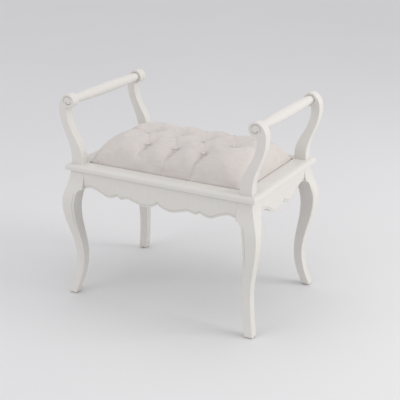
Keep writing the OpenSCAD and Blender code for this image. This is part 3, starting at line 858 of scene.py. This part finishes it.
# %% Turn the hand rails
RAIL_END, RAIL_MID = 26 * MM, 35 * MM
RAIL_STEPS = 30  # from the middle to each end
FULLNESS = 1.25  # above 1, the middle fifth stays at its full width
INTO_POST = 1 * MM
rail_half = post_y - POST_T / 2
profile = [(0, -rail_half - INTO_POST), (RAIL_END / 2, -rail_half - INTO_POST)]
for i in range(-RAIL_STEPS, RAIL_STEPS + 1):
    u = i / RAIL_STEPS
    swell = math.sin(math.pi / 2 * min(1, FULLNESS * (1 - abs(u))))
    profile.append((RAIL_END / 2 + (RAIL_MID - RAIL_END) / 2 * swell, rail_half * u))
profile += [(RAIL_END / 2, rail_half + INTO_POST), (0, rail_half + INTO_POST)]
bm = turned(profile, (scroll.x, 0, scroll.y), (0, 1, 0), steps=48)
place_painted(bm, "hand_rail", "arm_rail", ("left", "right"))
print("hand rails turned,", round(2 * rail_half / MM), "mm between posts")

# %% [markdown]
# ## The buttoned cushion
# The cushion is foam under cloth. Ten covered buttons are drawn down through the
# foam with twine, so the cloth puffs up between them and folds into pleats that run
# from button to button and from the outer rows to the edge. It is made in five
# steps: a crowned block a little smaller than the real one, a voxel remesh that
# gives it an even skin, a cloth simulation that blows the skin up while its base
# and its buttons are held, a smoothing that evens out small creases, and last the
# pleats, which are pressed into the skin. The simulated cloth is cut a twentieth
# larger than the block, so that it has cloth to spare between the buttons.

# %% Cushion values
WALL_X, WALL_Y = 275.5 * MM, 176.5 * MM  # the cloth stays inside the frame's opening
ROOM = 1 * MM  # left for the cloth to swell into
PAD_X, PAD_Y = WALL_X - ROOM, WALL_Y - ROOM
pad_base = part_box("seat_board")[1].z
CROWN = deck + 79 * MM
END_BULGE, FRONT_BULGE = (4.7, 2.7), (2.65, 1.85)  # powers of the crown's curves along and across
PITCH, ROW = 100 * MM, 103 * MM  # between buttons in a row, and between rows
BUTTONS = [(i * PITCH, row * ROW) for row in (-1, 1) for i in (-1, 0, 1)]
BUTTONS += [((i - 1.5) * PITCH, 0.0) for i in range(4)]
CORNER_R = 12 * MM  # corners of the cushion, seen from above
BUTTON_D = 14 * MM
SKIN = 4.5 * MM  # size of the remesh's cells
SMOOTHING = 8  # times that small creases are evened out


def crown_height(x, y):
    """Height of the crown over a point of the plan, 0 at the cushion's edge and 1 in its middle."""
    end = max(0.0, 1 - abs(x / PAD_X) ** END_BULGE[0]) ** (1 / END_BULGE[1])
    front = max(0.0, 1 - abs(y / PAD_Y) ** FRONT_BULGE[0]) ** (1 / FRONT_BULGE[1])
    return end * front


print(len(BUTTONS), "buttons, crown", round((CROWN - deck) / MM), "mm above the frame before swelling")


# %% Build the block and give it an even skin
BLOCK_CUTS = 59
CROWDING = 1.6  # above 1, points crowd towards the rim


def read_points(mesh, what="co"):
    """A mesh's places, or its normals, with a row for each point."""
    values = np.empty(len(mesh.vertices) * 3, np.float32)
    mesh.vertices.foreach_get(what, values)
    return values.reshape(-1, 3).astype(float)


def write_points(mesh, values):
    """Give a mesh's points their new places."""
    mesh.vertices.foreach_set("co", values.astype(np.float32).ravel())
    mesh.update()


bm = bmesh.new()
bmesh.ops.create_cube(bm, size=2)
bmesh.ops.subdivide_edges(bm, edges=bm.edges[:], cuts=BLOCK_CUTS, use_grid_fill=True)
for vert in bm.verts:
    # The crown drops away at the rim, so more points are needed there.
    u, v = (math.copysign(1 - (1 - abs(c)) ** CROWDING, c) for c in (vert.co.x, vert.co.y))
    x, y, w = u * PAD_X, v * PAD_Y, (vert.co.z + 1) / 2
    outside = Vector((max(abs(x) - PAD_X + CORNER_R, 0), max(abs(y) - PAD_Y + CORNER_R, 0)))
    if outside.length > CORNER_R:
        inward = outside * (1 - CORNER_R / outside.length)
        x, y = x - math.copysign(inward.x, x), y - math.copysign(inward.y, y)
    top = deck + (CROWN - deck) * crown_height(x, y)
    vert.co = (x, y, pad_base + (top - pad_base) * w)
block = scratch_object(bm, "block")
remesh = block.modifiers.new("skin", "REMESH")
remesh.mode, remesh.voxel_size = "VOXEL", SKIN
cushion_mesh = applied(block)
bpy.data.meshes.remove(block.data)
places = read_points(cushion_mesh)
print("skin of", len(places), "points")


# %% Pull the buttons down
PULL_REACH, PULL_POWER = 24 * MM, 1.4
SHOULDER_LOW, SHOULDER_H = 10 * MM, 30 * MM  # the pull fades out down this band of the wall


def pits(xy, reach, power):
    """Share of a button's pull at each point, 1 at a button and 0 far from it."""
    share = np.zeros(len(xy))
    for bx, by in BUTTONS:
        away = np.hypot(xy[:, 0] - bx, xy[:, 1] - by)
        share = np.maximum(share, np.exp(-(away / reach) ** power))
    return share


upper = np.clip((places[:, 2] - deck - SHOULDER_LOW) / SHOULDER_H, 0, 1)
button_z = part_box("tuft_buttons")[0].z
drop = np.maximum(places[:, 2] - button_z, 0) * pits(places[:, :2], PULL_REACH, PULL_POWER)
places[:, 2] -= drop * upper
write_points(cushion_mesh, places)
print("buttons at", round(button_z / MM, 1), "mm")

# %% Blow the skin up
HELD_RIM = 3 * MM  # cloth below this height over the deck is held
HELD_REACH, HELD_POWER, HELD_SHARE = 9 * MM, 4.0, 0.3  # and cloth under a button
FRAMES = 20
LIMIT = 24 * MM  # no point swells further than this

cushion = bpy.data.objects.new("buttoned_cushion", cushion_mesh)
bpy.context.collection.objects.link(cushion)
held = cushion.vertex_groups.new(name="held")
near_button = (pits(places[:, :2], HELD_REACH, HELD_POWER) > HELD_SHARE) & (upper > 0.5)
fixed = np.nonzero((places[:, 2] < deck + HELD_RIM) | near_button)[0]
held.add([int(i) for i in fixed], 1.0, "REPLACE")
cloth = cushion.modifiers.new("blow up", "CLOTH")
settings = cloth.settings
settings.quality = 6
settings.mass = 0.25
settings.tension_stiffness = settings.compression_stiffness = 10
settings.shear_stiffness = 3
settings.bending_stiffness = 2.0
settings.shrink_min = -0.05  # the cloth is cut larger than the block
settings.use_pressure = True
settings.uniform_pressure_force = 6
settings.effector_weights.gravity = 0
settings.vertex_group_mass = "held"
cloth.point_cache.frame_start, cloth.point_cache.frame_end = 1, FRAMES
for step in range(1, FRAMES + 1):
    bpy.context.scene.frame_set(step)
swollen = applied(cushion)
move = read_points(swollen) - places
bpy.data.meshes.remove(swollen)
cushion.modifiers.clear()
cushion.vertex_groups.clear()
bpy.context.scene.frame_set(1)
size = np.linalg.norm(move, axis=1)
print("swelling, mm: mean", round(float(size.mean()) / MM, 1), "most", round(float(size.max()) / MM, 1))
places += move * np.minimum(1, LIMIT / np.maximum(size, 1e-9))[:, None]
write_points(cushion_mesh, places)
print("crown at", round(float(places[:, 2].max()) / MM, 1), "mm")

# %% Even out small creases and make the skin finer
bm = bmesh.new()
bm.from_mesh(cushion_mesh)
bm.verts.ensure_lookup_table()
away_from_buttons = pits(places[:, :2], HELD_REACH, HELD_POWER) < HELD_SHARE
free = np.nonzero((places[:, 2] > deck + HELD_RIM) & away_from_buttons)[0]
for _ in range(SMOOTHING):
    bmesh.ops.smooth_vert(bm, verts=[bm.verts[int(i)] for i in free], factor=0.5,
                          use_axis_x=True, use_axis_y=True, use_axis_z=True)
bm.to_mesh(cushion_mesh)
bm.free()
subdivide = cushion.modifiers.new("smooth", "SUBSURF")
subdivide.levels = subdivide.render_levels = 1
fine = applied(cushion)
cushion.modifiers.clear()
cushion.data = fine
bpy.data.meshes.remove(cushion_mesh)
places, normals = read_points(fine), read_points(fine, "normal")
print("smoothed at", len(free), "points")

# %% [markdown]
# A pleat is a fold: cloth dips sharply on one side and rolls over softly on the
# other. Each is a line in plan from a button to the edge or to the next button. A
# point near the line is pushed in along its own normal, so that the same pleat
# runs over the top, over the shoulder and down the wall.

# %% Lay out the pleats
AT_BUTTON = 13.0 * MM  # depth of a front or rear pleat at its button
EDGE_DEPTHS = {-PITCH: 2.0 * MM, 0: 5.0 * MM, PITCH: 7.0 * MM}  # and at the edge, button by button
DIAGONAL = 3.0 * MM
END_DEEP, END_SHALLOW = 7.0 * MM, 2.0 * MM
SLANT = 5 * MM  # how far a front or rear pleat leans to the left
OVERRUN = 6 * MM  # how far a pleat runs on past the edge
SHARP_SIDE, SOFT_SIDE = 3.5 * MM, 14 * MM
WALL_FADE = 14 * MM  # height over the deck in which the pleats die out

pleats = []  # start, end, depth at the start and at the end
for bx, edge_depth in EDGE_DEPTHS.items():
    for row in (-1, 1):
        edge = (bx - SLANT, row * (PAD_Y + OVERRUN))
        pleats.append(((bx, row * ROW), edge, AT_BUTTON, edge_depth))
        for side in (-0.5, 0.5):
            pleats.append(((bx, row * ROW), (bx + side * PITCH, 0.0), DIAGONAL, DIAGONAL))
for side in (-1, 1):
    pleats.append(((side * 1.5 * PITCH, 0.0), (side * (PAD_X + OVERRUN), 0.0), END_DEEP, END_SHALLOW))
print(len(pleats), "pleats")

# %% Press the pleats in
push = np.zeros(len(places))
for start, end, deep, shallow in pleats:
    a, b = np.array(start), np.array(end)
    along = (b - a) / np.linalg.norm(b - a)
    offset = places[:, :2] - a
    t = np.clip(offset @ along / np.linalg.norm(b - a), 0, 1)
    nearest = a + t[:, None] * (b - a)
    away = np.linalg.norm(places[:, :2] - nearest, axis=1)
    side = offset @ np.array((-along[1], along[0]))
    width = np.where(side > 0, SOFT_SIDE, SHARP_SIDE)
    push = np.maximum(push, (deep + (shallow - deep) * t) * np.exp(-away / width))
above = np.clip((places[:, 2] - deck) / WALL_FADE, 0, 1)
under_buttons = pits(places[:, :2], BUTTON_D / 2, HELD_POWER)
places -= normals * (push * above * (1 - under_buttons))[:, None]
places[:, 0] = np.clip(places[:, 0], -WALL_X, WALL_X)
places[:, 1] = np.clip(places[:, 1], -WALL_Y, WALL_Y)
write_points(fine, places)
print("cushion:", len(fine.polygons), "faces, crown at", round(float(places[:, 2].max()) / MM, 1), "mm")

# %% Dress the cushion
fine.materials.clear()
fine.materials.append(linen)
fine.shade_smooth()
cushion.name = fine.name = "buttoned_cushion"
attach(cushion, "root")
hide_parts("foam_pad", "seat_cover")
print("cushion declared")

# %% [markdown]
# ## Covered buttons
# A covered button is a shallow metal dome with the same cloth stretched over it and
# gathered behind. It is turned like the rails, and each one is dropped down onto
# the cushion where the twine pulls it.

# %% Buttons
BUTTON_R, DOME_H = BUTTON_D / 2, 4.5 * MM
BACK, RIM = 1 * MM, 0.4 * MM  # the back below the button's seat, and the rim above it
TUCK = 1.5 * MM  # how much narrower the back is than the rim
LIFT = 0.5 * MM  # of the button's seat over the cloth

profile = [(0, -BACK), (BUTTON_R - TUCK, -BACK), (BUTTON_R, RIM)]
for a in (math.radians(degrees) for degrees in range(12, 90, 13)):
    profile.append((BUTTON_R * math.cos(a), RIM + DOME_H * math.sin(a)))
profile.append((0, RIM + DOME_H))
bm = bmesh.new()
for bx, by in BUTTONS:
    touch = cushion.ray_cast(Vector((bx, by, 1.0)), Vector((0, 0, -1)))[1]
    join(bm, turned(profile, (bx, by, touch.z + LIFT), (0, 0, 1), steps=28))
place_piece(bm, "covered_buttons", linen, ["tuft_buttons"])
bm.free()
print(len(BUTTONS), "buttons")

# %% [markdown]
# ## Cloth turned in round the board
# Under the deck the cloth runs down past the board's edge and is turned in below
# it, where the black dust cover hides its raw edge. It is a ring, extruded down for
# the wall and in for the margin, and solidify gives it the cloth's thickness.

# %% Turned-in margin
CLOTH_T, TURN_IN = 1.5 * MM, 30 * MM
BOARD_R, LEAST_R = 10 * MM, 2 * MM  # corner of the wall, and of a ring far inside it
FOLD = 1 * MM  # size of the fold at the board's lower edge
PER_CORNER = 8  # points of a ring in each corner
board_low, board_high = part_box("seat_board")


def board_ring(bm, verts, corner, inset, z):
    """Put a ring of points round the board, a given distance inside its wall."""
    x, y = board_high.x + CLOTH_T - inset, board_high.y + CLOTH_T - inset
    radius = max(BOARD_R - inset, LEAST_R)
    for vert in verts:
        a = 2 * math.pi * (vert[corner] + 0.5) / (4 * PER_CORNER)
        sx, sy = math.copysign(1, math.cos(a)), math.copysign(1, math.sin(a))
        quarter = (vert[corner] % PER_CORNER) / (PER_CORNER - 1) * math.pi / 2
        turn = (vert[corner] // PER_CORNER) * math.pi / 2 + quarter
        vert.co = (sx * (x - radius) + radius * math.cos(turn),
                   sy * (y - radius) + radius * math.sin(turn), z)


bm = bmesh.new()
corner = bm.verts.layers.int.new("corner")
ring = bmesh.ops.create_circle(bm, cap_ends=False, segments=4 * PER_CORNER, radius=1)["verts"]
for i, vert in enumerate(ring):
    vert[corner] = i
board_ring(bm, ring, corner, 0, board_high.z + CLOTH_T)
edges = bm.edges[:]
turned_in_z = board_low.z - CLOTH_T
for inset, z in ((0, turned_in_z + FOLD), (FOLD, turned_in_z), (TURN_IN, turned_in_z)):
    grown = bmesh.ops.extrude_edge_only(bm, edges=edges)["geom"]
    edges = of_kind(grown, bmesh.types.BMEdge)
    board_ring(bm, of_kind(grown, bmesh.types.BMVert), corner, inset, z)
bmesh.ops.recalc_face_normals(bm, faces=bm.faces)
bmesh.ops.solidify(bm, geom=bm.faces[:], thickness=CLOTH_T)
margin = place_piece(bm, "turned_in_margin", linen, ["seat_cover"], even=False)
bm.free()
print("margin box, mm:", [[round(v / MM, 1) for v in c] for c in (margin.bound_box[0], margin.bound_box[6])])
